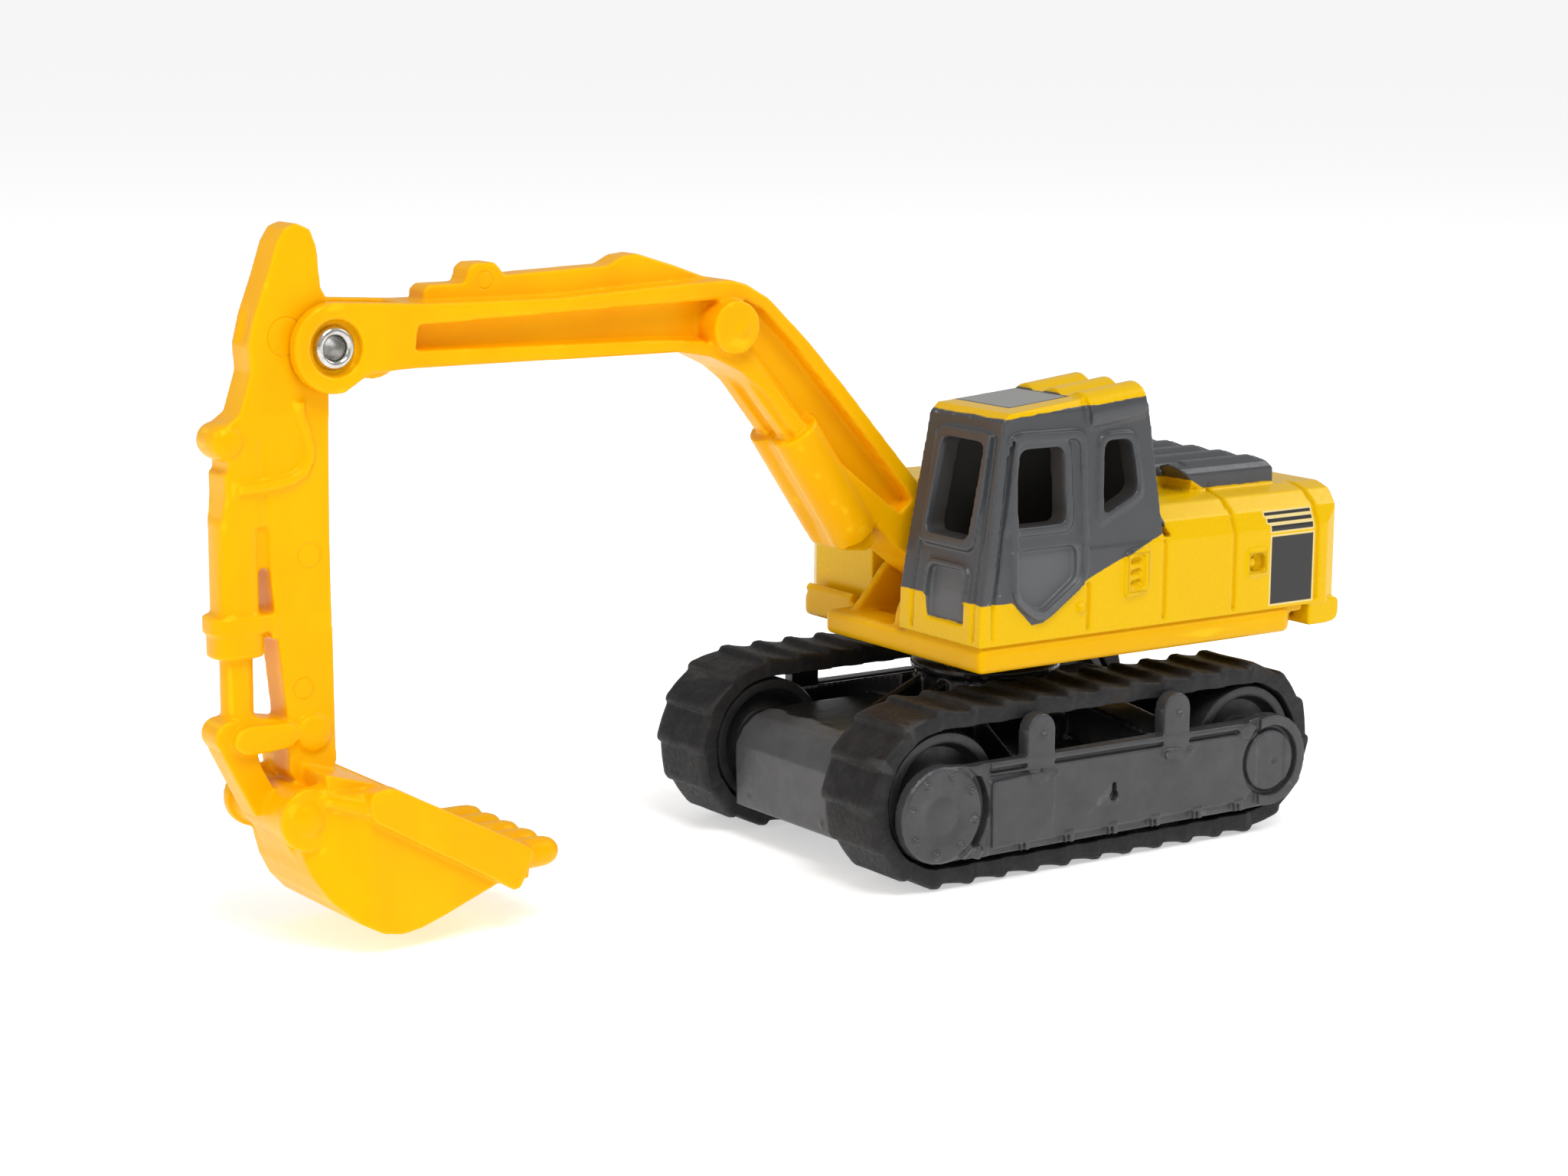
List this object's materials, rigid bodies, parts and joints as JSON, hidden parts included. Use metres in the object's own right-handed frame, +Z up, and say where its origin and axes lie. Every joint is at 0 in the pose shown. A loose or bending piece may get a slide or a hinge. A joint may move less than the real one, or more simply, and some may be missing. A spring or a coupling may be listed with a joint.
{
  "type": "toy excavator",
  "caption": "Pocket-size toy excavator: hollow die-cast cab and engine body turning on a grey undercarriage with rubber tracks, with a hinged yellow boom, arm and bucket.",
  "frame": {"origin": "middle of the model's footprint, on the surface the tracks stand on", "axes": "+X the way the boom points, +Y the cab's side, +Z up"},
  "size_m": [0.0748, 0.0264, 0.0408],
  "materials": {
    "boom": "satin moulded",
    "arm_and_bucket": "satin moulded",
    "deck": "glossy moulded",
    "body_casting": "glossy enamel with dark grey printed panels",
    "chassis": "satin moulded",
    "chassis_base": "satin moulded",
    "track_frame_left": "satin moulded",
    "track_frame_right": "satin moulded",
    "track_belt_left": "soft matt",
    "track_belt_right": "soft matt",
    "wheel_front_left": "satin moulded",
    "wheel_front_right": "satin moulded",
    "wheel_rear_left": "satin moulded",
    "wheel_rear_right": "satin moulded",
    "axle_front": "bright drawn",
    "axle_rear": "bright drawn",
    "slew_rivet": "bright drawn",
    "slew_washer": "bright drawn",
    "deck_rivet_front": "bright drawn",
    "deck_rivet_rear": "bright drawn",
    "chassis_rivet_front": "bright drawn",
    "chassis_rivet_rear": "bright drawn",
    "boom_pin": "bright drawn",
    "arm_rivet": "bright drawn"
  },
  "bodies": {
    "undercarriage": {"chassis": "chassis", "chassis_base": "chassis_base", "chassis_rivet_front": "chassis_rivet_front", "chassis_rivet_rear": "chassis_rivet_rear", "track_frame_left": "track_frame_left", "track_frame_right": "track_frame_right", "track_belt_left": "track_belt_left", "track_belt_right": "track_belt_right"},
    "upper": {"deck": "deck", "body_casting": "body_casting", "slew_rivet": "slew_rivet", "slew_washer": "slew_washer", "deck_rivet_front": "deck_rivet_front", "deck_rivet_rear": "deck_rivet_rear", "boom_pin": "boom_pin"},
    "boom": {"boom": "boom", "arm_rivet": "arm_rivet"},
    "arm": {"arm_and_bucket": "arm_and_bucket"},
    "front_axle": {"axle_front": "axle_front", "wheel_front_left": "wheel_front_left", "wheel_front_right": "wheel_front_right"},
    "rear_axle": {"axle_rear": "axle_rear", "wheel_rear_left": "wheel_rear_left", "wheel_rear_right": "wheel_rear_right"}
  },
  "joints": [
    {"name": "slew", "type": "hinge", "parent": "undercarriage", "child": "upper", "pos_m": [-0.0174, 0, 0.01295], "axis": [0, 0, 1], "continuous": true},
    {"name": "boom_lift", "type": "hinge", "parent": "upper", "child": "boom", "pos_m": [-0.014, 0, 0.018], "axis": [0, -1, 0], "range_deg": [-1, 38]},
    {"name": "arm_swing", "type": "hinge", "parent": "boom", "child": "arm", "pos_m": [0.0301, 0, 0.0339], "axis": [0, -1, 0], "range_deg": [-40, 50]},
    {"name": "front_axle_spin", "type": "hinge", "parent": "undercarriage", "child": "front_axle", "pos_m": [-0.0052, 0, 0.00565], "axis": [0, 1, 0], "continuous": true},
    {"name": "rear_axle_spin", "type": "hinge", "parent": "undercarriage", "child": "rear_axle", "pos_m": [-0.0296, 0, 0.00565], "axis": [0, 1, 0], "continuous": true}
  ],
  "couplings": [
    {"joint": "rear_axle_spin", "follows": "front_axle_spin", "ratio": 1}
  ]
}
